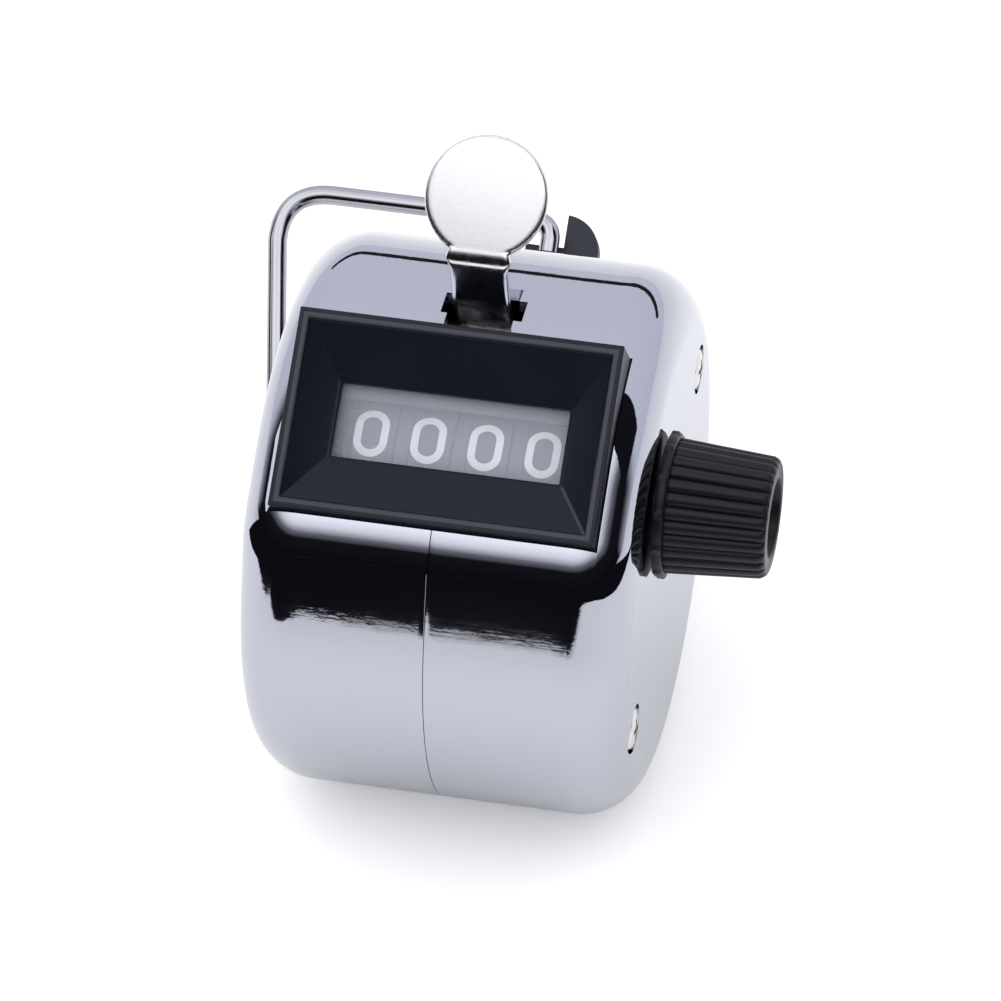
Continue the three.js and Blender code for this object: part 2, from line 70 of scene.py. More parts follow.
def placing():
    """The matrix from the window's frame in millimetres to the part's frame in metres."""
    hinge = Vector(JOINTS["loop_swing"]["axis"])
    tilt = math.atan2(-hinge.z, -hinge.y)
    turn = Matrix.Rotation(tilt, 4, "X")
    axle = Vector(JOINTS["knob_turn"]["pos_m"])
    centre = axle - (turn @ Vector((0, *AXLE))) * MM
    return Matrix.Translation(centre) @ turn @ Matrix.Scale(MM, 4)


PLACE = placing()
UP = (PLACE.to_3x3().inverted() @ Vector((0, 0, 1))).normalized()


# ------------------------------------------------------------------ settings
def in_mm(name, default, about, **limits):
    return FloatProperty(name=name, description=f"{about}, in millimetres", default=default, **limits)


def angle_of(name, degrees, about):
    return FloatProperty(name=name, description=about, subtype="ANGLE", default=math.radians(degrees))


def color_of(name, default, about):
    return FloatVectorProperty(name=name, description=about, subtype="COLOR", size=3, min=0, max=1,
                               default=default)


class TallyCaseSettings(bpy.types.PropertyGroup):
    """Drum case"""
    radius: in_mm("Radius", 21.4, "Drum radius", min=15, max=30)
    half_width: in_mm("Half width", 15.0, "From the seam to a side")
    fillet: in_mm("Edge round", 4.7, "Round between rim and side")
    wall: in_mm("Wall", 1.0, "Sheet thickness")
    bend: angle_of("Land bend", 37.2, "How far the land turns down under the window")
    bend_radius: in_mm("Bend radius", 6.6, "Radius of the land's bend")
    rest_flat: in_mm("Resting flat", math.sqrt(21.4 ** 2 - 5 ** 2), "Depth of the flat underneath")
    color: color_of("Plate", (0.50, 0.515, 0.575), "Colour of the chrome plate")


class TallyWindowSettings(bpy.types.PropertyGroup):
    """Bezel, lens and number wheels"""
    width: in_mm("Width", 24.7, "Bezel width")
    height: in_mm("Height", 15.4, "Bezel height")
    centre: in_mm("Centre", 2.4, "Bezel centre up the window")
    rim: in_mm("Rim", 22.6, "Height of the rim above the drum's axis")
    lip: in_mm("Lip", 0.75, "Width of the flat rim")
    opening_width: in_mm("Opening width", 17.4, "Width of the opening")
    opening_height: in_mm("Opening height", 5.7, "Height of the opening")
    lean: angle_of("Wheel lean", 7.4, "How far up the shown numeral sits on its wheel")
    digit_width: in_mm("Numeral width", 2.6, "Width of a numeral")
    digit_height: in_mm("Numeral height", 3.75, "Height of a numeral")
    digit_offset: in_mm("Numeral offset", -0.26, "Numerals' middle from the rim's middle")
    stroke: in_mm("Stroke", 0.58, "Line width of a numeral")
    bezel_color: color_of("Bezel", (0.006, 0.007, 0.0125), "Colour of the bezel")
    # Painted reflection: the wheels get a bluish grey in place of their black, standing in for the lens's
    # reflection over them.
    wheel_color_with_reflection: color_of("Wheels", (0.115, 0.122, 0.165), "Colour of the number wheels")
    digit_color: color_of("Numerals", (0.82, 0.87, 0.97), "Colour of the numerals")


class TallyLeverSettings(bpy.types.PropertyGroup):
    """Thumb lever"""
    thickness: in_mm("Sheet", 0.8, "Sheet thickness")
    pad: in_mm("Pad", 9.4, "Pad diameter")
    neck: in_mm("Neck", 4.5, "Neck width")
    shift: in_mm("Shift", 0.4, "Strip's middle, right of the seam")
    pad_tilt: angle_of("Pad tilt", 9, "Lean of the pad from the window's plane")
    color: color_of("Nickel", (0.82, 0.815, 0.84), "Colour of the nickel plate")


class TallyKnobSettings(bpy.types.PropertyGroup):
    """Reset knob"""
    start: in_mm("Start", 15.3, "Inner face from the seam")
    length: in_mm("Length", 8.5, "Length with the collar")
    base: in_mm("Base", 10.4, "Diameter next to the collar")
    tip: in_mm("Tip", 9.3, "Diameter at the end")
    collar: in_mm("Collar", 11.5, "Collar diameter")
    socket: in_mm("Socket", 6.1, "Diameter of the end socket")
    flutes: IntProperty(name="Flutes", description="Number of flutes", default=28, min=8, max=60)
    color: color_of("Plastic", (0.0055, 0.006, 0.0095), "Colour of the knob")


class TallyLoopSettings(bpy.types.PropertyGroup):
    """Finger loop and its bracket"""
    wire: in_mm("Wire", 1.6, "Wire diameter")
    top: in_mm("Top bar", 30.1, "Height of the top bar")
    bottom: in_mm("Bottom bar", 1.4, "Height of the bottom bar")
    left: in_mm("Reach", -24.4, "Outer leg from the seam")
    hinge: in_mm("Hinge", -1.75, "Hinge line from the seam")
    depth: in_mm("Depth", -22.6, "Loop's plane from the drum's axis")


class TallyStageSettings(bpy.types.PropertyGroup):
    """Camera and light"""
    azimuth: angle_of("Azimuth", 11.77, "Camera's turn to the right of the front")
    elevation: angle_of("Elevation", 39.64, "Camera's height above level")
    roll: angle_of("Roll", -0.29, "Camera's turn about its own view")
    distance: FloatProperty(name="Distance", description="From the drum to the camera", subtype="DISTANCE",
                            unit="LENGTH", default=0.520)
    lens: FloatProperty(name="Lens", description="Focal length on a 36 mm sensor", default=241.3)
    aim_right: in_mm("Aim right", 1.563, "Aim to the right of the drum")
    aim_up: in_mm("Aim up", 1.671, "Aim above the drum")


GROUPS = {
    "tally_case": TallyCaseSettings, "tally_window": TallyWindowSettings, "tally_lever": TallyLeverSettings,
    "tally_knob": TallyKnobSettings, "tally_loop": TallyLoopSettings, "tally_stage": TallyStageSettings,
}


# ------------------------------------------------------------------ shader building
class Shader:
    """Adds nodes to one material and wires them to its Principled shader."""

    def __init__(self, name, color, metallic=0.0, roughness=0.4, **sockets):
        self.material = bpy.data.materials.new(name)
        self.material.use_nodes = True
        self.tree = self.material.node_tree
        self.principled = self.tree.nodes["Principled BSDF"]
        self.set(Metallic=metallic, Roughness=roughness, **sockets)
        self.principled.inputs["Base Color"].default_value = (*color, 1)
        self.coords = self.tree.nodes.new("ShaderNodeTexCoord").outputs["Object"]
        self.normal = None

    def set(self, **sockets):
        for name, value in sockets.items():
            self.principled.inputs[name.replace("_", " ")].default_value = value

    def link(self, output, socket):
        self.tree.links.new(output, socket)

    def mapped(self, scale=(1, 1, 1), turn=(0, 0, 0)):
        node = self.tree.nodes.new("ShaderNodeMapping")
        node.inputs["Scale"].default_value = scale
        node.inputs["Rotation"].default_value = turn
        self.link(self.coords, node.inputs["Vector"])
        return node.outputs["Vector"]

    def noise(self, scale, detail=3.0, roughness=0.5, vector=None):
        node = self.tree.nodes.new("ShaderNodeTexNoise")
        node.inputs["Scale"].default_value = scale
        node.inputs["Detail"].default_value = detail
        node.inputs["Roughness"].default_value = roughness
        self.link(vector or self.coords, node.inputs["Vector"])
        return node.outputs["Fac"]

    def range(self, value, low, high, out_low, out_high):
        node = self.tree.nodes.new("ShaderNodeMapRange")
        self.link(value, node.inputs["Value"])
        for name, number in (("From Min", low), ("From Max", high),
                             ("To Min", out_low), ("To Max", out_high)):
            node.inputs[name].default_value = number
        return node.outputs["Result"]

    def blend(self, factor, first, second):
        node = self.tree.nodes.new("ShaderNodeMix")
        node.data_type = "RGBA"
        self.link(factor, node.inputs["Factor"])
        for socket, colour in (("A", first), ("B", second)):
            node.inputs[socket].default_value = (*colour, 1)
        return node.outputs["Result"]

    def color(self, output):
        self.link(output, self.principled.inputs["Base Color"])

    def roughness(self, output):
        self.link(output, self.principled.inputs["Roughness"])

    def bump(self, height, strength, distance):
        node = self.tree.nodes.new("ShaderNodeBump")
        node.inputs["Strength"].default_value = strength
        node.inputs["Distance"].default_value = distance
        self.link(height, node.inputs["Height"])
        if self.normal:
            self.link(self.normal, node.inputs["Normal"])
        self.normal = node.outputs["Normal"]
        self.link(self.normal, self.principled.inputs["Normal"])


def tint(color, factor):
    return tuple(min(1.0, channel * factor) for channel in color)


def chrome_plate(name, color, ripple=0.2):
    """Bright plate with a faint orange peel, drawing lines round the drum and tiny pits."""
    shader = Shader(name, color, metallic=1.0, roughness=0.03)
    patches = shader.noise(90, 4)
    shader.roughness(shader.range(patches, 0.35, 0.7, 0.02, 0.04))
    shader.color(shader.blend(shader.noise(40, 3), tint(color, 0.96), tint(color, 1.03)))
    streaks = shader.noise(1.0, 3, vector=shader.mapped((160, 3600, 3600)))
    shader.bump(shader.noise(700, 2), ripple, 0.000012)
    shader.bump(streaks, ripple, 0.0000035)
    shader.bump(shader.noise(6500, 2), ripple, 0.0000025)
    return shader.material


def drawn_metal(name, color, roughness, scale=900.0, stretch=(1, 14, 14), strength=0.25):
    """Metal with fine lines from drawing or brushing along x."""
    shader = Shader(name, color, metallic=1.0, roughness=roughness)
    lines = shader.noise(scale, 3, vector=shader.mapped(stretch))
    shader.roughness(shader.range(lines, 0.3, 0.7, roughness * 0.8, roughness * 1.25))
    shader.color(shader.blend(shader.noise(180, 3), tint(color, 0.9), tint(color, 1.05)))
    shader.bump(lines, strength, 0.000012)
    return shader.material


def satin_nickel(name, color):
    """Blasted nickel: bright, matt and finely speckled."""
    shader = Shader(name, color, metallic=1.0, roughness=0.28)
    grain = shader.noise(9000, 2)
    shader.roughness(shader.range(grain, 0.3, 0.7, 0.25, 0.31))
    shader.color(shader.blend(shader.noise(2600, 3), tint(color, 0.97), tint(color, 1.03)))
    shader.bump(grain, 0.2, 0.000012)
    return shader.material


def polished_nickel(name, color):
    shader = Shader(name, color, metallic=1.0, roughness=0.16)
    shader.roughness(shader.range(shader.noise(1500, 3), 0.3, 0.7, 0.11, 0.24))
    shader.color(shader.blend(shader.noise(300, 3), tint(color, 0.82), tint(color, 1.0)))
    shader.bump(shader.noise(1300, 3), 0.2, 0.00002)
    return shader.material


def moulded_plastic(name, color, roughness, grain=2600.0, strength=0.22, gloss=0.5):
    """Moulded plastic with a fine spark-eroded grain, faint flow marks and rubbed patches."""
    shader = Shader(name, color, roughness=roughness, Specular_IOR_Level=gloss)
    cells = shader.noise(grain, 4, 0.6)
    patches = shader.noise(160, 4)
    shader.roughness(shader.range(patches, 0.3, 0.7, roughness * 0.82, roughness * 1.18))
    shader.color(shader.blend(patches, tint(color, 0.85), tint(color, 1.3)))
    shader.bump(cells, strength, 0.000015)
    return shader.material


# ------------------------------------------------------------------ piece building
def settings(group):
    return getattr(bpy.context.scene, group)


def as_object(bm, name):
    mesh = bpy.data.meshes.new(name)
    bm.to_mesh(mesh)
    bm.free()
    thing = bpy.data.objects.new(name, mesh)
    bpy.context.scene.collection.objects.link(thing)
    return thing


def add_piece(bm, name, materials, body, replaces=(), smooth_angle=35.0, recalc=True):
    """Turns a bmesh in the window's frame into a placed piece that rides on a body."""
    if recalc:
        bmesh.ops.remove_doubles(bm, verts=bm.verts, dist=1e-4)
        bmesh.ops.recalc_face_normals(bm, faces=bm.faces)
    bm.transform(PLACE)
    piece = as_object(bm, name)
    for material in materials if isinstance(materials, list) else [materials]:
        piece.data.materials.append(material)
    piece.data.shade_smooth()
    piece.data.set_sharp_from_angle(angle=math.radians(smooth_angle))
    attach(piece, body)
    if replaces:
        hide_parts(*replaces)


def soften(bm, width, segments=3, angle=30.0):
    """Bevels the edges sharper than an angle in degrees."""
    limit = math.radians(angle)
    chosen = [edge for edge in bm.edges if len(edge.link_faces) == 2 and edge.calc_face_angle(0) > limit]
    bmesh.ops.bevel(bm, geom=chosen, offset=width, offset_type="OFFSET", segments=segments, profile=0.5,
                    affect="EDGES", clamp_overlap=True, material=-1)


def revolve(profile, centre=(0.0, 0.0), steps=64):
    """Spins an outline of (radius, x) points about the x line through a centre."""
    bm = bmesh.new()
    verts = [bm.verts.new((x, radius, 0)) for radius, x in profile]
    edges = [bm.edges.new(pair) for pair in zip(verts, verts[1:])]
    bmesh.ops.spin(bm, geom=verts + edges, axis=(1, 0, 0), cent=(0, 0, 0), angle=math.tau, steps=steps,
                   use_merge=True)
    bmesh.ops.remove_doubles(bm, verts=bm.verts, dist=1e-5)
    bmesh.ops.translate(bm, verts=bm.verts, vec=(0, *centre))
    return bm


def modified(target, *helpers):
    """The target's mesh with its modifiers applied; the objects used are removed."""
    evaluated = target.evaluated_get(bpy.context.evaluated_depsgraph_get())
    result = bmesh.new()
    result.from_mesh(evaluated.to_mesh())
    evaluated.to_mesh_clear()
    for thing in (target, *helpers):
        data = thing.data
        bpy.data.objects.remove(thing)
        bpy.data.meshes.remove(data)
    return result


def carve(bm, *cutters):
    """Takes the cutters' volumes away from a closed bmesh and returns the result."""
    for solid in (bm, *cutters):
        bmesh.ops.recalc_face_normals(solid, faces=solid.faces)
    target = as_object(bm, "carved")
    tools = [as_object(cutter, "cutter") for cutter in cutters]
    for tool in tools:
        modifier = target.modifiers.new("cut", "BOOLEAN")
        modifier.object, modifier.operation, modifier.solver = tool, "DIFFERENCE", "EXACT"
    return modified(target, *tools)


def thicken(bm, wall):
    """Gives an open sheet its thickness on the inner side."""
    sheet = as_object(bm, "sheet")
    modifier = sheet.modifiers.new("wall", "SOLIDIFY")
    modifier.thickness, modifier.offset, modifier.use_even_offset = wall, -1, False
    return modified(sheet)


def pull_ring(bm, edges):
    """Extrudes a ring of edges and returns its new vertices and edges."""
    made = bmesh.ops.extrude_edge_only(bm, edges=edges)["geom"]
    return ([item for item in made if isinstance(item, bmesh.types.BMVert)],
            [item for item in made if isinstance(item, bmesh.types.BMEdge)])


def block(x, y, z, round_edges=0.0):
    """A box between (low, high) pairs, with rounded edges if asked."""
    bm = bmesh.new()
    bmesh.ops.create_cube(bm, size=1.0)
    bmesh.ops.scale(bm, verts=bm.verts, vec=(x[1] - x[0], y[1] - y[0], z[1] - z[0]))
    bmesh.ops.translate(bm, verts=bm.verts, vec=((x[0] + x[1]) / 2, (y[0] + y[1]) / 2, (z[0] + z[1]) / 2))
    if round_edges:
        soften(bm, round_edges)
    return bm


def rod_along_x(radius, start, end, centre, steps=48):
    return revolve([(0, start), (radius, start), (radius, end), (0, end)], centre, steps)


def merged(*parts):
    """Puts several bmeshes into one, side by side."""
    whole = bmesh.new()
    for part in parts:
        mesh = bpy.data.meshes.new("part")
        part.to_mesh(mesh)
        part.free()
        whole.from_mesh(mesh)
        bpy.data.meshes.remove(mesh)
    return whole


# ------------------------------------------------------------------ case
def land_factor(angle, case):
    """How far out the drum's outline is, in radii, by angle from the window towards the front.

    Two flats touch the circle at the window and at the bend's angle, and a round joins them.
    """
    half = case.bend / 2
    if not 0 < angle < case.bend:
        return 1.0
    flat = 1 / math.cos(min(angle, case.bend - angle))
    soft = case.bend_radius / case.radius  # a round of this radius touches both flats
    centre = (1 - soft) / math.cos(half)
    off = angle - half
    inside = soft ** 2 - (centre * math.sin(off)) ** 2
    if inside <= 0 or abs(off) > half:
        return flat
    rounded = centre * math.cos(off) + math.sqrt(inside)
    return rounded if centre * math.sin(abs(off)) < soft * math.sin(half - abs(off)) else flat


def crowd(angle, target, spread=0.30, power=1.35):
    """Moves angles near a target closer to it, so that rows crowd round a tight bend."""
    off = (angle - target) / spread
    return angle if abs(off) > 1 else target + math.copysign(abs(off) ** power, off) * spread


def shell_half(side, case):
    """One pressed half: the spun wall shaped to the window's land, opened, and given its thickness."""
    r, half, fillet = case.radius, case.half_width, case.fillet
    profile = [(r - 0.10, 0.016), (r - 0.03, 0.02), (r - 0.006, 0.045), (r, 0.085)]
    profile += [(r, x) for x in (0.5, 1.2, 2.2, 3.6, 5.2, 6.8, 8.4, 9.6)]
    for k in range(17):
        turn = math.pi / 2 * k / 16
        profile.append((r - fillet + fillet * math.cos(turn), half - fillet + fillet * math.sin(turn)))
    profile += [(radius, half) for radius in (15.2, 12.0, 8.0, 4.0, 0.0)]
    bm = revolve([(radius, side * x) for radius, x in profile], steps=300)
    for vert in bm.verts:
        radius = math.hypot(vert.co.y, vert.co.z)
        if radius > 1e-6:
            angle = crowd(math.atan2(-vert.co.y, vert.co.z) % math.tau, case.bend / 2)
            radius *= land_factor(angle, case)
            vert.co.y, vert.co.z = -radius * math.sin(angle), radius * math.cos(angle)
        under = vert.co.dot(UP) + case.rest_flat
        if under < 0:
            vert.co -= UP * under
    open_wall(bm, settings("tally_window"))
    bmesh.ops.recalc_face_normals(bm, faces=bm.faces)
    if sum(face.normal.x * side for face in bm.faces if abs(face.calc_center_median().x) > half - 0.01) < 0:
        bmesh.ops.reverse_faces(bm, faces=bm.faces)
    return thicken(bm, case.wall)


def open_wall(bm, window):
    """Opens the aperture under the bezel and the T-shaped slot for the thumb lever."""
    half = window.width / 2 + 0.1
    low, high = window.centre - window.height / 2 - 0.1, window.centre + window.height / 2 + 0.1
    stem = (-2.15, 2.95)  # across the slot's stem; its arms are wider

    def front_faces(x0, x1, y0, y1):
        centres = ((face, face.calc_center_median()) for face in bm.faces)
        return [face for face, at in centres if at.z > 9 and x0 < at.x < x1 and y0 < at.y < y1]

    for x0, x1, y0, y1 in ((-half, half, low, high), (-2.65, 3.6, 12.1, 14.0), (*stem, high - 0.5, 12.1),
                           (*stem, 14.0, 15.15)):
        for point, normal in (((x0, 0, 0), (1, 0, 0)), ((x1, 0, 0), (1, 0, 0)),
                              ((0, y0, 0), (0, 1, 0)), ((0, y1, 0), (0, 1, 0))):
            near = front_faces(x0 - 1.5, x1 + 1.5, y0 - 1.5, y1 + 1.5)
            edges = {edge for face in near for edge in face.edges}
            verts = {vert for face in near for vert in face.verts}
            bmesh.ops.bisect_plane(bm, geom=[*near, *edges, *verts], dist=1e-5, plane_co=point,
                                   plane_no=normal)
        bmesh.ops.delete(bm, geom=front_faces(x0, x1, y0, y1), context="FACES")


class TALLY_OT_case(bpy.types.Operator):
    """Build the two chromed halves of the drum case"""
    bl_idname = "tally.case"
    bl_label = "Case Halves"

    def execute(self, context):
        case = settings("tally_case")
        plate = chrome_plate("chrome plate", case.color)
        head_seat, seat_floor, screw_hole, shaft_hole = 1.95, 14.42, 1.02, 1.7
        for side, name in ((-1, "left"), (1, "right")):
            bm = shell_half(side, case)
            inside, outside = side * 12, side * 16
            cutters = []
            for centre in SCREWS.values():
                cutters.append(rod_along_x(head_seat, side * seat_floor, outside, centre))
                cutters.append(rod_along_x(screw_hole, inside, outside, centre, 24))
            if side > 0:
                cutters.append(rod_along_x(shaft_hole, inside, outside, AXLE))
            bm = carve(bm, *cutters)
            add_piece(bm, f"shell_{name}", plate, "case", [f"case_{name}"], recalc=False)
        return {"FINISHED"}


class TALLY_OT_screws(bpy.types.Operator):
    """Build the four cross-recessed case screws"""
    bl_idname = "tally.screws"
    bl_label = "Case Screws"

    def execute(self, context):
        nickel = polished_nickel("screw nickel", (0.8, 0.79, 0.76))
        under, shank, tip = 14.70, 0.75, 10.0
        profile = [(0, 15.16), (0.7, 15.14), (1.2, 15.06), (1.5, 14.93), (1.62, 14.80), (1.65, under),
                   (shank, under), (shank, tip), (0, tip)]  # radius, distance from the seam
        recess_turn, recess_half, recess_floor = 0.6, 0.85, 14.75
        for side, hand in ((-1, "left"), (1, "right")):
            for place, centre in SCREWS.items():
                bm = revolve([(r, side * x) for r, x in profile], steps=48)
                bars = []
                for turn in (recess_turn, recess_turn + math.pi / 2):
                    bar = block((recess_floor, 15.4), (-recess_half, recess_half), (-0.19, 0.19), 0.08)
                    if side < 0:
                        bmesh.ops.scale(bar, verts=bar.verts, vec=(-1, 1, 1))
                    bmesh.ops.rotate(bar, verts=bar.verts, cent=(0, 0, 0),
                                     matrix=Matrix.Rotation(turn, 3, "X"))
                    bars.append(bar)
                bm = carve(bm, *bars)
                bmesh.ops.translate(bm, verts=bm.verts, vec=(0, *centre))
                add_piece(bm, f"screw_{hand}_{place}", nickel, "case",
                          [f"case_screw_{hand}_{place}"])
        return {"FINISHED"}


# ------------------------------------------------------------------ window
class TALLY_OT_bezel(bpy.types.Operator):
    """Build the black window bezel with its four sloped walls"""
    bl_idname = "tally.bezel"
    bl_label = "Window Bezel"

    def execute(self, context):
        w = settings("tally_window")
        floor, ledge, pocket, skirt = 20.1, 19.5, 18.3, 16.6
        bm = bmesh.new()
        bmesh.ops.create_cube(bm, size=1.0)
        bmesh.ops.scale(bm, verts=bm.verts, vec=(w.width, w.height, w.rim - skirt))
        bmesh.ops.translate(bm, verts=bm.verts, vec=(0, w.centre, (w.rim + skirt) / 2))

        def step(face, width, height, depth):
            """Extrudes a face to a smaller rectangle at a new depth and returns it."""
            new = bmesh.ops.extrude_discrete_faces(bm, faces=[face])["faces"][0]
            for vert in new.verts:
                vert.co.x = math.copysign(width / 2, vert.co.x)
                vert.co.y = w.centre + math.copysign(height / 2, vert.co.y - w.centre)
                vert.co.z = depth
            return new

        bm.faces.ensure_lookup_table()
        top = max(bm.faces, key=lambda face: face.calc_center_median().z)
        under = min(bm.faces, key=lambda face: face.calc_center_median().z)
        for inset, depth in ((w.lip, 0), (2 * w.lip, 0), (2 * w.lip + 0.1, 0.28)):
            top = step(top, w.width - inset, w.height - inset, w.rim - depth)
        top = step(top, w.opening_width + 0.55, w.opening_height + 0.4, floor + 0.12)
        top = step(top, w.opening_width, w.opening_height, floor)
        top = step(top, w.opening_width, w.opening_height, ledge)
        inner, seat = (w.width - 2.4, w.height - 2.4), (20.2, 8.4)
        for (width, height), depth in ((inner, skirt), (inner, pocket), (seat, pocket), (seat, ledge),
                                       ((w.opening_width, w.opening_height), ledge)):
            under = step(under, width, height, depth)
        bmesh.ops.delete(bm, geom=[top, under], context="FACES_ONLY")
        bmesh.ops.remove_doubles(bm, verts=bm.verts, dist=1e-4)
        soften(bm, 0.13, 3, 12)
        black = moulded_plastic("bezel black", w.bezel_color, 0.27, grain=1500, strength=0.12, gloss=0.22)
        # Painted highlight: the inner lip's top and the lower-right mitre faces get a lighter grey where light
        # catches the bezel's edges.
        lip_highlight_color = tuple(channel * lift for channel, lift in zip(w.bezel_color, (4.6, 4.2, 3.3)))
        lip_highlight = moulded_plastic("bezel rim", lip_highlight_color, 0.33, grain=2200, strength=0.3, gloss=0.3)
        bevel_edge, mitre_area = w.rim - 0.16, 0.9
        for face in bm.faces:
            middle = face.calc_center_median()
            lit_mitre = (floor + 0.3 < middle.z < bevel_edge and face.calc_area() < mitre_area
                         and middle.y < w.centre < middle.x)
            inner = (abs(middle.x) < (w.width - w.lip) / 2
                     and abs(middle.y - w.centre) < (w.height - w.lip) / 2)
            face.material_index = int(inner and (middle.z > bevel_edge or lit_mitre))
        add_piece(bm, "bezel", [black, lip_highlight], "case", ["window_bezel"], smooth_angle=24)
        return {"FINISHED"}


class TALLY_OT_lens(bpy.types.Operator):
    """Build the slightly milky window lens"""
    bl_idname = "tally.lens"
    bl_label = "Window Lens"

    def execute(self, context):
        w = settings("tally_window")
        bm = block((-9.7, 9.7), (w.centre - 3.8, w.centre + 3.8), (18.5, 19.3), 0.12)
        clear = Shader("milky lens", (0.72, 0.75, 0.84), roughness=0.16, Alpha=0.16, IOR=1.45)
        clear.roughness(clear.range(clear.noise(500, 3), 0.3, 0.7, 0.12, 0.24))
        add_piece(bm, "lens", clear.material, "case", ["window_lens"])
        return {"FINISHED"}


def numeral_paths():
    """The centre lines of the ten numerals in a unit box, 1 wide and 1 high about its middle."""
    def arc(cx, cy, rx, ry, start, end, count=12):
        turns = [math.radians(start + (end - start) * k / count) for k in range(count + 1)]
        return [(cx + rx * math.cos(turn), cy + ry * math.sin(turn)) for turn in turns]

    side, rise = 0.5, 0.2
    bowl = 0.5 - rise
    ring = arc(0, rise, side, bowl, 0, 180) + arc(0, -rise, side, bowl, 180, 360)
    return {
        0: [ring + ring[:1]],
        1: [[(-0.22, 0.32), (0.08, 0.5), (0.08, -0.5)]],
        2: [arc(0, 0.24, 0.48, 0.26, 160, -35) + [(-0.48, -0.5), (0.5, -0.5)]],
        3: [arc(-0.02, 0.25, 0.46, 0.25, 150, -85) + arc(-0.02, -0.25, 0.5, 0.25, 85, -150)],
        4: [[(0.24, -0.5), (0.24, 0.5), (-0.5, -0.2), (0.5, -0.2)]],
        5: [[(0.42, 0.5), (-0.36, 0.5), (-0.42, 0.06)] + arc(0, -0.17, 0.48, 0.33, 140, -150)],
        6: [arc(0, -0.2, 0.5, 0.3, 180, -180, 24) + arc(0.02, 0.14, 0.52, 0.36, 180, 40)],
        7: [[(-0.5, 0.5), (0.5, 0.5), (-0.1, -0.5)]],
        8: [arc(0, 0.25, 0.42, 0.25, 270, -90, 24) + arc(0, -0.25, 0.5, 0.25, 90, -270, 24)],
        9: [arc(0, 0.2, 0.5, 0.3, 0, 360, 24) + arc(-0.02, -0.14, 0.52, 0.36, 0, -140)],
    }


def short_steps(path, longest):
    """Splits a path's long stretches so that it can bend."""
    out = []
    for a, b in zip(path, path[1:]):
        count = max(1, math.ceil(math.dist(a, b) / longest))
        out += [(a[0] + (b[0] - a[0]) * k / count, a[1] + (b[1] - a[1]) * k / count) for k in range(count)]
    return out + [path[-1]]


def stroke_on_wheel(bm, path, width, place):
    """Lays a flat line of even width along a path and wraps it on the wheel with place(x, y)."""
    rows = []
    path = short_steps(path, 0.25)
    closed = path[0] == path[-1]
    for i, (x, y) in enumerate(path):
        before = path[i - 1] if i else (path[-2] if closed else path[0])
        after = path[i + 1] if i + 1 < len(path) else (path[1] if closed else path[-1])
        along = Vector((after[0] - before[0], after[1] - before[1])).normalized()
        across = Vector((-along.y, along.x)) * width / 2
        rows.append([bm.verts.new(place(x + s * across.x, y + s * across.y)) for s in (-1, -0.33, 0.33, 1)])
    for a, b in zip(rows, rows[1:]):
        for k in range(3):
            bm.faces.new((a[k], a[k + 1], b[k + 1], b[k]))


class TALLY_OT_wheels(bpy.types.Operator):
    """Build the printed number bands round the four wheels"""
    bl_idname = "tally.wheels"
    bl_label = "Number Wheels"

    def execute(self, context):
        w = settings("tally_window")
        # Painted reflection: the bands take the lifted wheel grey that stands in for the lens's reflection.
        grey = moulded_plastic("wheel grey", w.wheel_color_with_reflection, 0.5, grain=1200, strength=0.15)
        white = moulded_plastic("numeral white", w.digit_color, 0.5, grain=1800, strength=0.1)
        paths = numeral_paths()
        radius, inner, edge, wide = 7.83, 7.0, 7.72, 3.2
        span = (w.digit_width - w.stroke, w.digit_height - w.stroke)
        for index, name in enumerate(WHEELS):
            x0 = (index - 1.5) * PITCH - PITCH / 2 + 1.05
            left, right, middle = x0 - 0.01, x0 + wide + 0.01, x0 + wide / 2
            band = revolve([(inner, left), (edge, left), (radius, x0 + 0.1), (radius, x0 + wide - 0.1),
                            (edge, right), (inner, right), (inner, left)], AXLE, 120)
            add_piece(band, f"band_{name}", grey, name)
            print_bm = bmesh.new()
            for digit, strokes in paths.items():
                for stroke in strokes:
                    path = [(x * span[0], y * span[1]) for x, y in stroke]

                    def wrap(x, y):
                        # the next numeral up sits below the one on show
                        angle = y / radius - digit * math.tau / 10 + w.lean
                        return (middle + w.digit_offset + x, AXLE[0] + (radius + 0.02) * math.sin(angle),
                                AXLE[1] + (radius + 0.02) * math.cos(angle))
                    stroke_on_wheel(print_bm, path, w.stroke, wrap)
            bmesh.ops.solidify(print_bm, geom=print_bm.faces[:], thickness=0.015)
            add_piece(print_bm, f"numerals_{name}", white, name, smooth_angle=60)
        self.comb(w, grey, radius)
        return {"FINISHED"}

    @staticmethod
    def comb(w, grey, radius):
        """Fixed fingers between the wheels, and a grey strip along the window's upper edge that paints the shade
        band under the bezel's top wall.
        """
        fingers = []
        for index in range(3):
            left = (index - 1.5) * PITCH - PITCH / 2 + 4.30
            right, low, high = left + 1.08, radius - 0.35, radius - 0.14
            bm = bmesh.new()
            outline = [(left, low), (left, high), (right, high), (right, low)]
            verts = [bm.verts.new((x, AXLE[0], AXLE[1] + r)) for x, r in outline]
            edges = [bm.edges.new((verts[k - 1], verts[k])) for k in range(4)]
            bmesh.ops.rotate(bm, verts=verts, cent=(0, *AXLE),
                             matrix=Matrix.Rotation(math.radians(26), 3, "X"))
            made = bmesh.ops.spin(bm, geom=verts + edges, axis=(-1, 0, 0), cent=(0, *AXLE),
                                  angle=math.radians(74), steps=24)["geom_last"]
            last = [item for item in made if isinstance(item, bmesh.types.BMEdge)]
            bmesh.ops.contextual_create(bm, geom=edges)
            bmesh.ops.contextual_create(bm, geom=last)
            fingers.append(bm)
        top = w.centre + w.opening_height / 2
        # Painted shade: a fixed grey strip behind the lens stands for the shade along the opening's top edge.
        shade_strip = block((-9.3, 9.3), (top - 0.72, top + 0.9), (17.62, 18.15), 0.05)
        add_piece(merged(*fingers, shade_strip), "window_comb", grey, "case")


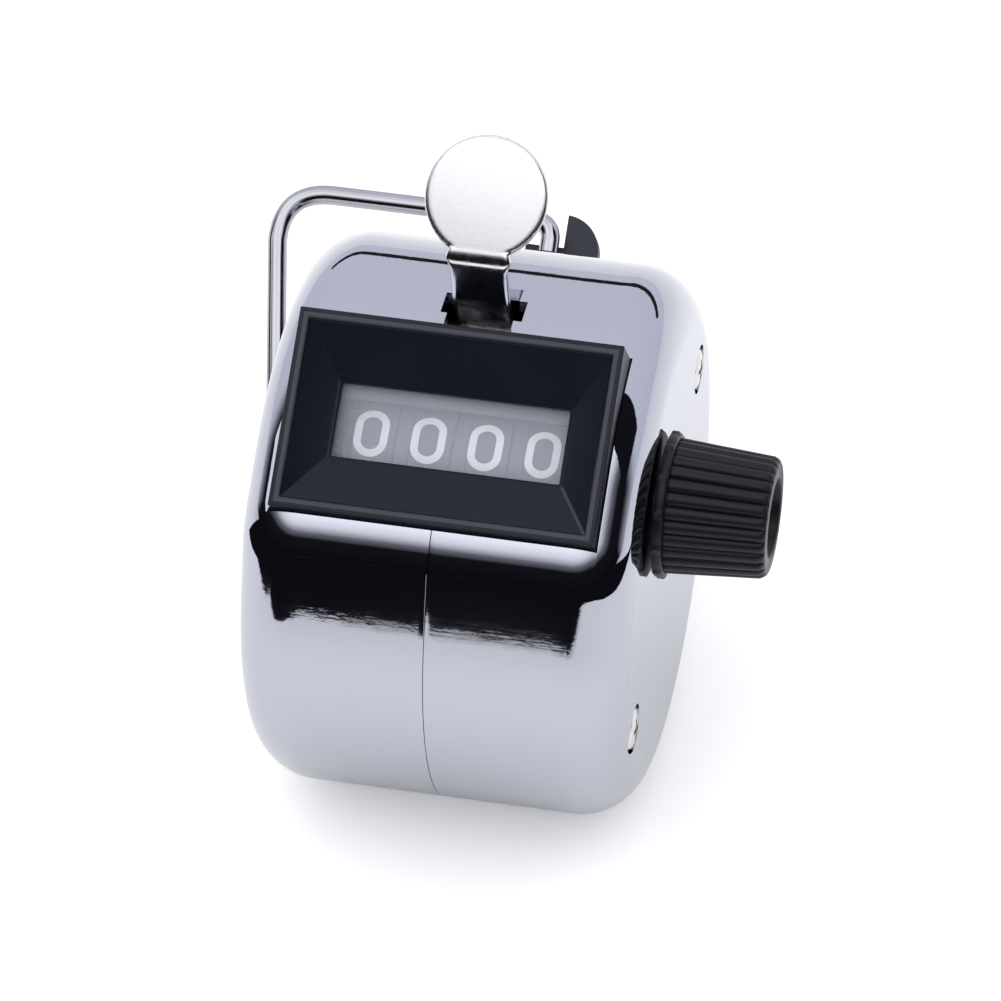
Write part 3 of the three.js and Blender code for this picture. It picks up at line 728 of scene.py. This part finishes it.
# ------------------------------------------------------------------ thumb lever
def rounded_line(points, radii, steps=8):
    """A polyline in the side plane with its inner corners rounded."""
    line = [Vector(points[0])]
    for before, corner, after, radius in zip(points, points[1:], points[2:], radii):
        before, corner, after = Vector(before), Vector(corner), Vector(after)
        a, b = (before - corner).normalized(), (after - corner).normalized()
        half = a.angle(b) / 2
        reach = radius / math.tan(half)
        centre = corner + (a + b).normalized() * radius / math.sin(half)
        start, end = corner + a * reach - centre, corner + b * reach - centre
        for k in range(steps + 1):
            mix = start.lerp(end, k / steps).normalized() * radius
            line.append(centre + mix)
    line.append(Vector(points[-1]))
    return line


def resample(line, count):
    """Even steps along a polyline, as (point, direction, distance)."""
    lengths = [0.0]
    for a, b in zip(line, line[1:]):
        lengths.append(lengths[-1] + (b - a).length)
    out = []
    for k in range(count + 1):
        s = lengths[-1] * k / count
        i = max(j for j in range(len(line) - 1) if lengths[j] <= s + 1e-9)
        a, b = line[i], line[i + 1]
        share = (s - lengths[i]) / max(1e-9, lengths[i + 1] - lengths[i])
        out.append((a.lerp(b, share), (b - a).normalized(), s))
    return out


def strip_rows(line, radius, fine=400, neck_rows=70, pad_rows=60):
    """Stations along the lever's line: even on the neck, crowding towards the top of the round pad."""
    even = resample(line, fine)
    total = even[-1][2]
    foot = -0.92  # where the pad's rows begin, in pad radii from its middle
    start = math.asin(foot)
    wanted = [(total - radius * (1 - foot)) * k / neck_rows for k in range(neck_rows)]
    wanted += [total - radius + radius * math.sin(start + (math.pi / 2 - start) * k / pad_rows)
               for k in range(pad_rows + 1)]
    return [even[min(fine, round(s / total * fine))][:2] + (s - total + radius,) for s in wanted]


def rim_distance(x, from_centre, half, radius, neck):
    """How far a point of the lever's strip lies inside its outline."""
    joint = -math.sqrt(radius ** 2 - neck ** 2)  # where the pad's circle meets the neck
    out = math.hypot(x, from_centre)
    if from_centre <= joint:
        return half - abs(x)
    if from_centre < 0 and abs(x) * radius < neck * out:
        return math.hypot(neck - abs(x), from_centre - joint)
    return radius - out


def lever_strip(lever, line):
    """The lever's strip as one closed sheet with a fully rounded outline."""
    columns, radius, neck, round_over = 28, lever.pad / 2, lever.neck / 2, lever.thickness / 2
    rows = strip_rows(line, radius)
    bm = bmesh.new()
    bmesh.ops.create_grid(bm, x_segments=columns, y_segments=len(rows) - 1, size=1)
    front = sorted(bm.verts, key=lambda vert: (round(vert.co.y, 5), vert.co.x))
    half_depth = {}
    for k, (point, along, from_centre) in enumerate(rows):
        half = math.sqrt(max(0.0, radius ** 2 - from_centre ** 2))
        if from_centre < 0:
            half = max(half, neck + 0.25 * math.exp(-((from_centre + radius) / 0.5) ** 2))
        across = Vector((0, -along.y, along.x))
        for j in range(columns + 1):
            x = half * math.sin(math.pi * (j / columns - 0.5))
            inside = max(0.0, round_over - rim_distance(x, from_centre, half, radius, neck))
            on_pad = half > neck + 0.3 or from_centre > 0
            dish = -0.12 * (x * x + from_centre ** 2) / radius ** 2 if on_pad else 0.0
            vert = front[k * (columns + 1) + j]
            depth = math.sqrt(max(0.0, round_over ** 2 - inside ** 2))
            vert.co = Vector((x + lever.shift, point.x, point.y)) + across * (dish + depth)
            half_depth[vert] = across * depth
    made = bmesh.ops.duplicate(bm, geom=bm.verts[:] + bm.edges[:] + bm.faces[:])["vert_map"]
    for vert in front:
        made[vert].co -= half_depth[vert] * 2
    bmesh.ops.remove_doubles(bm, verts=bm.verts, dist=1e-4)
    bmesh.ops.holes_fill(bm, edges=[edge for edge in bm.edges if edge.is_boundary], sides=0)
    return bm


class TALLY_OT_lever(bpy.types.Operator):
    """Build the thumb lever: pad, bend and neck from one strip, with its barrel and arm"""
    bl_idname = "tally.lever"
    bl_label = "Thumb Lever"

    def execute(self, context):
        lever = settings("tally_lever")
        rise = Vector((math.cos(lever.pad_tilt), math.sin(lever.pad_tilt)))
        middle = Vector((19.9, 23.5))
        top, foot = middle + rise * lever.pad / 2, middle - rise * 4.35
        start, bend = (PIVOT[0] + 0.75, PIVOT[1] + 2.2), tuple(foot + Vector((-0.45, -0.25)))
        line = rounded_line([start, (12.85, 17.2), bend,
                             tuple(top)], [9.0, 1.15])
        bm = lever_strip(lever, line)
        satin = satin_nickel("satin nickel", lever.color)
        bright = polished_nickel("lever nickel", lever.color)
        for face in bm.faces:
            face.material_index = 0 if face.calc_center_median().y > foot.x + 0.1 else 1
        barrel = revolve([(1.2, -3.2), (2.0, -3.2), (2.1, -3.1), (2.1, 10.7), (2.0, 10.8), (1.2, 10.8),
                          (1.2, -3.2)], PIVOT, 40)
        parts = merged(bm, barrel, arm_plate([PIVOT, (3.6, 2.0), (-3.6, 2.4)]))
        for face in parts.faces:
            if face.calc_center_median().y < foot.x:
                face.material_index = 1
        add_piece(parts, "lever", [satin, bright], "lever", ["thumb_lever"], smooth_angle=40)
        return {"FINISHED"}


def arm_plate(points):
    """The lever's tail arm: a round-ended plate beside the units wheel."""
    bm = bmesh.new()
    for start, end in zip(points, points[1:]):
        a, b = Vector(start), Vector(end)
        turn = math.atan2(b.y - a.y, b.x - a.x)
        ring = []
        for k in range(17):
            angle = turn + math.pi / 2 + math.pi * k / 16
            ring.append((a.x + 1.3 * math.cos(angle), a.y + 1.3 * math.sin(angle)))
        for k in range(17):
            angle = turn - math.pi / 2 + math.pi * k / 16
            ring.append((b.x + 1.3 * math.cos(angle), b.y + 1.3 * math.sin(angle)))
        face = bm.faces.new([bm.verts.new((10.0, u, n)) for u, n in ring])
        top = bmesh.ops.extrude_face_region(bm, geom=[face])["geom"]
        bmesh.ops.translate(bm, verts=[item for item in top if isinstance(item, bmesh.types.BMVert)],
                            vec=(0.8, 0, 0))
    return bm


# ------------------------------------------------------------------ knob
class TALLY_OT_knob(bpy.types.Operator):
    """Build the fluted reset knob with its notched collar and end socket"""
    bl_idname = "tally.knob"
    bl_label = "Reset Knob"

    def execute(self, context):
        knob = settings("tally_knob")
        x0, x1 = knob.start + 0.75, knob.start + knob.length
        per_flute = 10
        bm = bmesh.new()
        ring = bmesh.ops.create_circle(bm, segments=knob.flutes * per_flute, radius=1.0)["verts"]
        bmesh.ops.rotate(bm, verts=ring, cent=(0, 0, 0), matrix=Matrix.Rotation(math.pi / 2, 3, "Y"))
        edges = lower = bm.edges[:]

        def shape(verts, x, radius, depth):
            for vert in verts:
                angle = math.atan2(vert.co.z, vert.co.y)
                wave = abs(math.sin(angle * knob.flutes / 2)) ** 0.55  # narrow grooves, full round ridges
                reach = radius - depth * (1 - wave)
                vert.co = (x, reach * math.cos(angle), reach * math.sin(angle))

        shape(ring, x0, knob.base / 2, 0.30)
        length = x1 - x0
        stations = [(0.04, 0.32), (0.3, 0.34), (0.6, 0.34), (0.86, 0.33), (0.93, 0.30), (0.965, 0.24),
                    (0.985, 0.14)]  # share of the length, groove depth
        for share, depth in stations:
            verts, edges = pull_ring(bm, edges)
            radius = (knob.base + (knob.tip - knob.base) * share) / 2 - (0.12 if share > 0.96 else 0) \
                - (0.12 if share > 0.98 else 0)
            shape(verts, x0 + length * share, radius, depth)
        mouth = knob.socket / 2
        for x, radius in ((x1 - 0.02, knob.tip / 2 - 0.42), (x1, knob.tip / 2 - 0.62), (x1, mouth + 0.1),
                          (x1 - 0.1, mouth), (x1 - 4.6, mouth - 0.15), (x1 - 5.0, mouth - 0.6),
                          (x1 - 5.0, 1.5), (knob.start, 1.5)):
            verts, edges = pull_ring(bm, edges)
            shape(verts, x, radius, 0)
        shape(pull_ring(bm, lower)[0], knob.start + 0.5, knob.base / 2 - 0.2, 0.3)
        bmesh.ops.translate(bm, verts=bm.verts, vec=(0, *AXLE))
        parts = merged(bm, self.collar(knob))
        black = moulded_plastic("knob black", knob.color, 0.38, grain=1700, strength=0.3, gloss=0.26)
        add_piece(parts, "knob", black, "reset", ["reset_knob"], smooth_angle=50)
        return {"FINISHED"}

    @staticmethod
    def collar(knob):
        """A thin collar with shallow ratchet-like notches round its edge."""
        bm = bmesh.new()
        bmesh.ops.create_circle(bm, segments=144, radius=1.0, cap_ends=False)
        bmesh.ops.rotate(bm, verts=bm.verts, cent=(0, 0, 0), matrix=Matrix.Rotation(math.pi / 2, 3, "Y"))
        edges = bm.edges[:]

        def shape(verts, x, radius, teeth):
            for vert in verts:
                angle = math.atan2(vert.co.z, vert.co.y)
                saw = (angle / math.tau * 12 + 0.4) % 1.0
                reach = radius + teeth * max(0.0, 1 - saw * 4)
                vert.co = (x, reach * math.cos(angle), reach * math.sin(angle))

        shape(bm.verts[:], knob.start, 1.5, 0)
        radius = knob.collar / 2 - 0.22
        for x, reach, teeth in ((knob.start, radius - 0.1, 0.1), (knob.start + 0.1, radius, 0.22),
                                (knob.start + 0.62, radius, 0.22), (knob.start + 0.78, radius - 0.14, 0.15),
                                (knob.start + 0.8, knob.base / 2 - 0.5, 0)):
            verts, edges = pull_ring(bm, edges)
            shape(verts, x, reach, teeth)
        bmesh.ops.translate(bm, verts=bm.verts, vec=(0, *AXLE))
        return bm


# ------------------------------------------------------------------ finger loop and bracket
def loop_line(loop):
    """Points along the wire's centre line, from the upper sleeve round to the lower one."""
    x, top, bottom, left = loop.hinge, loop.top, loop.bottom, loop.left
    corner, elbow, lean, tail, slope = 4.4, 1.7, 3.4, 4.9, 0.3

    def straight(a, b, count=14):
        return [Vector(a).lerp(Vector(b), k / count) for k in range(count)]

    def turn(a, c, b, count=18):
        a, b, c = Vector(a), Vector(b), Vector(c)
        return [a.lerp(c, k / count).lerp(c.lerp(b, k / count), k / count) for k in range(count)]

    return (straight((x, top - tail), (x, top - elbow), 4)
            + turn((x, top - elbow), (x, top), (x - elbow, top))
            + straight((x - elbow, top), (left + corner, top))
            + turn((left + corner, top), (left, top), (left + slope, top - corner))
            + straight((left + slope, top - corner), (left + lean, bottom + corner))
            + turn((left + lean, bottom + corner), (left + lean + slope, bottom),
                   (left + corner + lean, bottom))
            + straight((left + corner + lean, bottom), (x - elbow, bottom))
            + turn((x - elbow, bottom), (x, bottom), (x, bottom + elbow))
            + straight((x, bottom + elbow), (x, bottom + tail), 4) + [Vector((x, bottom + tail))])


class TALLY_OT_loop(bpy.types.Operator):
    """Build the bright wire finger loop"""
    bl_idname = "tally.loop"
    bl_label = "Finger Loop"

    def execute(self, context):
        loop = settings("tally_loop")
        line = loop_line(loop)
        bm = bmesh.new()
        ring = bmesh.ops.create_circle(bm, cap_ends=True, segments=28, radius=loop.wire / 2)["verts"]
        bmesh.ops.rotate(bm, verts=ring, cent=(0, 0, 0), matrix=Matrix.Rotation(math.pi / 2, 3, "X"))
        bmesh.ops.translate(bm, verts=ring, vec=(line[0].x, line[0].y, loop.depth))
        edges, at, heading = bm.edges[:], line[0], Vector((0, 1))
        for before, point, after in zip(line, line[1:], line[2:] + [line[-1] * 2 - line[-2]]):
            ring, edges = pull_ring(bm, edges)
            bmesh.ops.translate(bm, verts=ring, vec=(point.x - at.x, point.y - at.y, 0))
            new_heading = (after - before).normalized()
            bmesh.ops.rotate(bm, verts=ring, cent=(point.x, point.y, loop.depth),
                             matrix=Matrix.Rotation(-heading.angle_signed(new_heading), 3, "Z"))
            heading, at = new_heading, point
        bmesh.ops.holes_fill(bm, edges=edges, sides=0)
        wire = drawn_metal("bright wire", (0.46, 0.46, 0.49), 0.12, scale=700, stretch=(1, 1, 1),
                           strength=0.12)
        add_piece(bm, "loop_wire", wire, "loop", ["finger_loop"], smooth_angle=60)
        return {"FINISHED"}


class TALLY_OT_bracket(bpy.types.Operator):
    """Refine the moulded loop bracket from its solid, with eased edges"""
    bl_idname = "tally.bracket"
    bl_label = "Loop Bracket"

    def execute(self, context):
        source = frame["nodes"]["loop_bracket"].data
        bm = bmesh.new()
        bm.from_mesh(source)
        bm.transform(PLACE.inverted())
        bmesh.ops.remove_doubles(bm, verts=bm.verts, dist=1e-3)
        bmesh.ops.dissolve_limit(bm, angle_limit=math.radians(2), verts=bm.verts, edges=bm.edges)
        soften(bm, 0.18, 2, 40)
        color = tint(settings("tally_knob").color, 3.0)
        black = moulded_plastic("bracket black", color, 0.45, grain=1500, strength=0.25, gloss=0.35)
        add_piece(bm, "bracket", black, "case", ["loop_bracket"], smooth_angle=30)
        return {"FINISHED"}


# ------------------------------------------------------------------ hidden movement
class TALLY_OT_movement(bpy.types.Operator):
    """Finish the movement inside the case: plates, shafts, pinions, wheels and springs"""
    bl_idname = "tally.movement"
    bl_label = "Movement"

    def execute(self, context):
        w = settings("tally_window")
        finishes = {
            "plain_steel": drawn_metal("pressed steel", (0.52, 0.53, 0.55), 0.32),
            "brass_parts": drawn_metal("turned brass", (0.66, 0.5, 0.24), 0.28),
            "spring_wire": drawn_metal("spring steel", (0.36, 0.37, 0.4), 0.3),
            # The wheel bodies share the wheel grey with its painted reflection.
            "wheel_grey": moulded_plastic("wheel body grey", w.wheel_color_with_reflection, 0.5, grain=1200, strength=0.15),
        }
        slots = {part["node"]: part["material_slot"] for part in frame["record"]["subparts"]}
        for name, node in frame["nodes"].items():
            if slots.get(name) in finishes:
                for material_slot in node.material_slots:
                    material_slot.material = finishes[slots[name]]
        return {"FINISHED"}


# ------------------------------------------------------------------ stage
def emission(name, color):
    material = bpy.data.materials.new(name)
    material.use_nodes = True
    tree = material.node_tree
    tree.nodes.clear()
    glow = tree.nodes.new("ShaderNodeEmission")
    glow.inputs["Color"].default_value = (*color, 1)
    glow.inputs["Strength"].default_value = 1.0
    out = tree.nodes.new("ShaderNodeOutputMaterial")
    tree.links.new(glow.outputs["Emission"], out.inputs["Surface"])
    return material


def stage_piece(bm, name, material, reflected_only=True):
    """Puts a bmesh on the stage; most of the studio is seen only in reflections."""
    thing = as_object(bm, name)
    thing.data.materials.append(material)
    if reflected_only:
        thing.visible_camera = thing.visible_diffuse = False
        thing.visible_shadow = thing.visible_transmission = False


def card(name, azimuth, elevation, distance, width, height, color):
    """A studio card facing the counter from a direction in degrees."""
    a, e = math.radians(azimuth), math.radians(elevation)
    away = Vector((math.sin(a) * math.cos(e), -math.cos(a) * math.cos(e), math.sin(e)))
    centre = away * distance + Vector((0, 0, 0.025))
    bm = bmesh.new()
    bmesh.ops.create_grid(bm, x_segments=1, y_segments=1, size=0.5)
    bmesh.ops.scale(bm, verts=bm.verts, vec=(width, height, 1))
    bm.transform(Matrix.Translation(centre) @ away.to_track_quat("Z", "Y").to_matrix().to_4x4())
    stage_piece(bm, name, emission(name, color))


def mat(name, outline):
    """A dark mat on the floor, just above it."""
    bm = bmesh.new()
    bm.faces.new([bm.verts.new((x, y, 0.0005)) for x, y in outline])
    bmesh.ops.triangulate(bm, faces=bm.faces)
    stage_piece(bm, name, emission("dark mat", (0.007, 0.007, 0.010)))


class TALLY_OT_stage(bpy.types.Operator):
    """Set the pale floor, the soft studio light and the camera"""
    bl_idname = "tally.stage"
    bl_label = "Stage"

    def execute(self, context):
        self.floor()
        self.world(context.scene)
        self.lights(context.scene)
        self.camera(context.scene)
        context.scene.view_settings.view_transform = "Standard"
        return {"FINISHED"}

    @staticmethod
    def floor():
        bm = bmesh.new()
        bmesh.ops.create_grid(bm, x_segments=2, y_segments=2, size=3.0)
        shader = Shader("studio floor", (0.93, 0.93, 0.93), roughness=0.3, Specular_IOR_Level=0.2)
        shader.color(shader.blend(shader.noise(3, 2), (0.925, 0.925, 0.93), (0.94, 0.94, 0.945)))
        path = shader.tree.nodes.new("ShaderNodeLightPath")
        shader.principled.inputs["Emission Color"].default_value = (1, 1, 1, 1)
        lift = shader.range(path.outputs["Is Camera Ray"], 0, 1, 0, 0.22)
        shader.link(lift, shader.principled.inputs["Emission Strength"])
        stage_piece(bm, "floor", shader.material, reflected_only=False)

    @staticmethod
    def world(scene):
        """White to the camera, an even dome for matt surfaces, and a dark-sided studio for bright metal."""
        world = bpy.data.worlds.new("studio")
        world.use_nodes = True
        scene.world = world
        tree = world.node_tree
        new, link = tree.nodes.new, tree.links.new

        def ramp(value, stops):
            node = new("ShaderNodeValToRGB")
            link(value, node.inputs["Fac"])
            for index, (place, colour) in enumerate(stops):
                if index < 2:
                    stop = node.color_ramp.elements[index]
                    stop.position = place
                else:
                    stop = node.color_ramp.elements.new(place)
                stop.color = (*colour, 1)
            return node.outputs["Color"]

        def mix(factor, first, second):
            node = new("ShaderNodeMix")
            node.data_type = "RGBA"
            link(factor, node.inputs["Factor"])
            link(first, node.inputs["A"])
            if isinstance(second, tuple):
                node.inputs["B"].default_value = (*second, 1)
            else:
                link(second, node.inputs["B"])
            return node.outputs["Result"]

        split = new("ShaderNodeSeparateXYZ")
        link(new("ShaderNodeTexCoord").outputs["Generated"], split.inputs["Vector"])
        front = ramp(split.outputs["Z"], [(0.0, (0.006, 0.006, 0.008)), (1.0, (1.15, 1.16, 1.22)),
                                          (0.40, (0.012, 0.012, 0.016)), (0.52, (0.22, 0.22, 0.25)),
                                          (0.66, (1.15, 1.15, 1.19)), (0.84, (1.75, 1.75, 1.82))])
        back = ramp(split.outputs["Z"], [(0.0, (0.80, 0.82, 0.92)), (1.0, (0.93, 0.95, 1.04))])
        behind = new("ShaderNodeMapRange")
        behind.interpolation_type = "SMOOTHSTEP"
        for socket, value in (("From Min", 0.08), ("From Max", 0.36)):
            behind.inputs[socket].default_value = value
        link(split.outputs["Y"], behind.inputs["Value"])
        studio = mix(behind.outputs["Result"], front, back)
        path = new("ShaderNodeLightPath")
        shown = mix(path.outputs["Is Diffuse Ray"], studio, (1.15, 1.15, 1.17))
        shown = mix(path.outputs["Is Camera Ray"], shown, (1.0, 1.0, 1.0))
        link(shown, tree.nodes["Background"].inputs["Color"])

    @staticmethod
    def lights(scene):
        """One wide soft key, and cards that only show in reflections."""
        data = bpy.data.lights.new("key", "AREA")
        data.shape, data.size, data.energy = "SQUARE", 0.6, 1.2
        lamp = bpy.data.objects.new("key", data)
        lamp.location = (-0.2, -0.4, 0.65)
        lamp.rotation_euler = (Vector((0, 0, 0.02)) - lamp.location).to_track_quat("-Z", "Y").to_euler()
        lamp.visible_glossy = False
        scene.collection.objects.link(lamp)
        card("dark right", 99, 36, 0.5, 0.20, 0.38, (0.01, 0.01, 0.013))
        card("light left", -86, 24, 0.5, 0.10, 0.14, (1.15, 1.16, 1.22))
        card("dark behind", 180, 10, 0.8, 0.9, 0.05, (0.02, 0.02, 0.024))
        far, pale_left, pale_right = 2.9, (-0.080, -0.09), (0.10, -0.11)
        mat("dark_mat", [(-far, 0.0), (pale_left[0], 0.0), pale_left, (-0.060, -0.115), (-0.045, -0.138),
                         (-0.033, -0.152), (0.018, -0.153), (0.020, -0.149), (0.070, -0.149),
                         (0.084, -0.135), pale_right, (pale_right[0], 0.03), (far, 0.03), (far, -far),
                         (-far, -far)])
        for near, back in ((-0.1505, -0.1498), (-0.1482, -0.1477)):
            for x0, x1, nearer in ((-0.028, 0.018, 0.0), (0.019, 0.068, 0.004)):
                mat("dark_strip", [(x0, near + nearer), (x1, near + nearer), (x1, back + nearer),
                                   (x0, back + nearer)])

    @staticmethod
    def camera(scene):
        stage = settings("tally_stage")
        a, e = stage.azimuth, stage.elevation
        back = Vector((math.sin(a) * math.cos(e), -math.cos(a) * math.cos(e), math.sin(e)))
        facing = back.to_track_quat("Z", "Y")
        turned = facing @ Matrix.Rotation(stage.roll, 3, "Z").to_quaternion()
        right, up = turned @ Vector((1, 0, 0)), turned @ Vector((0, 1, 0))
        centre = PLACE.to_translation() + (right * stage.aim_right + up * stage.aim_up) * MM
        data = bpy.data.cameras.new("camera")
        data.sensor_width, data.lens = 36.0, stage.lens
        data.clip_start, data.clip_end = 0.05, 20.0
        camera = bpy.data.objects.new("camera", data)
        camera.rotation_mode = "QUATERNION"
        camera.location = centre + back * stage.distance
        camera.rotation_quaternion = turned
        scene.collection.objects.link(camera)
        scene.camera = camera


class TALLY_PT_panel(bpy.types.Panel):
    """Lists the counter's pieces and their settings"""
    bl_label = "Hand Tally Counter"
    bl_space_type = "VIEW_3D"
    bl_region_type = "UI"
    bl_category = "Tally"

    def draw(self, context):
        for operator in OPERATORS:
            self.layout.operator(operator.bl_idname)
        for name, group in GROUPS.items():
            box = self.layout.box()
            box.label(text=group.__doc__)
            for prop in group.__annotations__:
                box.prop(getattr(context.scene, name), prop)


OPERATORS = (TALLY_OT_movement, TALLY_OT_case, TALLY_OT_screws, TALLY_OT_bezel, TALLY_OT_lens,
             TALLY_OT_wheels, TALLY_OT_lever, TALLY_OT_knob, TALLY_OT_loop, TALLY_OT_bracket, TALLY_OT_stage)


def register():
    for group in GROUPS.values():
        bpy.utils.register_class(group)
    for name, group in GROUPS.items():
        setattr(bpy.types.Scene, name, PointerProperty(type=group))
    for cls in (*OPERATORS, TALLY_PT_panel):
        bpy.utils.register_class(cls)


def unregister():
    for cls in (TALLY_PT_panel, *reversed(OPERATORS)):
        bpy.utils.unregister_class(cls)
    for name in GROUPS:
        delattr(bpy.types.Scene, name)
    for group in reversed(GROUPS.values()):
        bpy.utils.unregister_class(group)


def main():
    register()
    for operator in OPERATORS:
        module, name = operator.bl_idname.split(".")
        getattr(getattr(bpy.ops, module), name)()


if __name__ == "__main__":
    main()
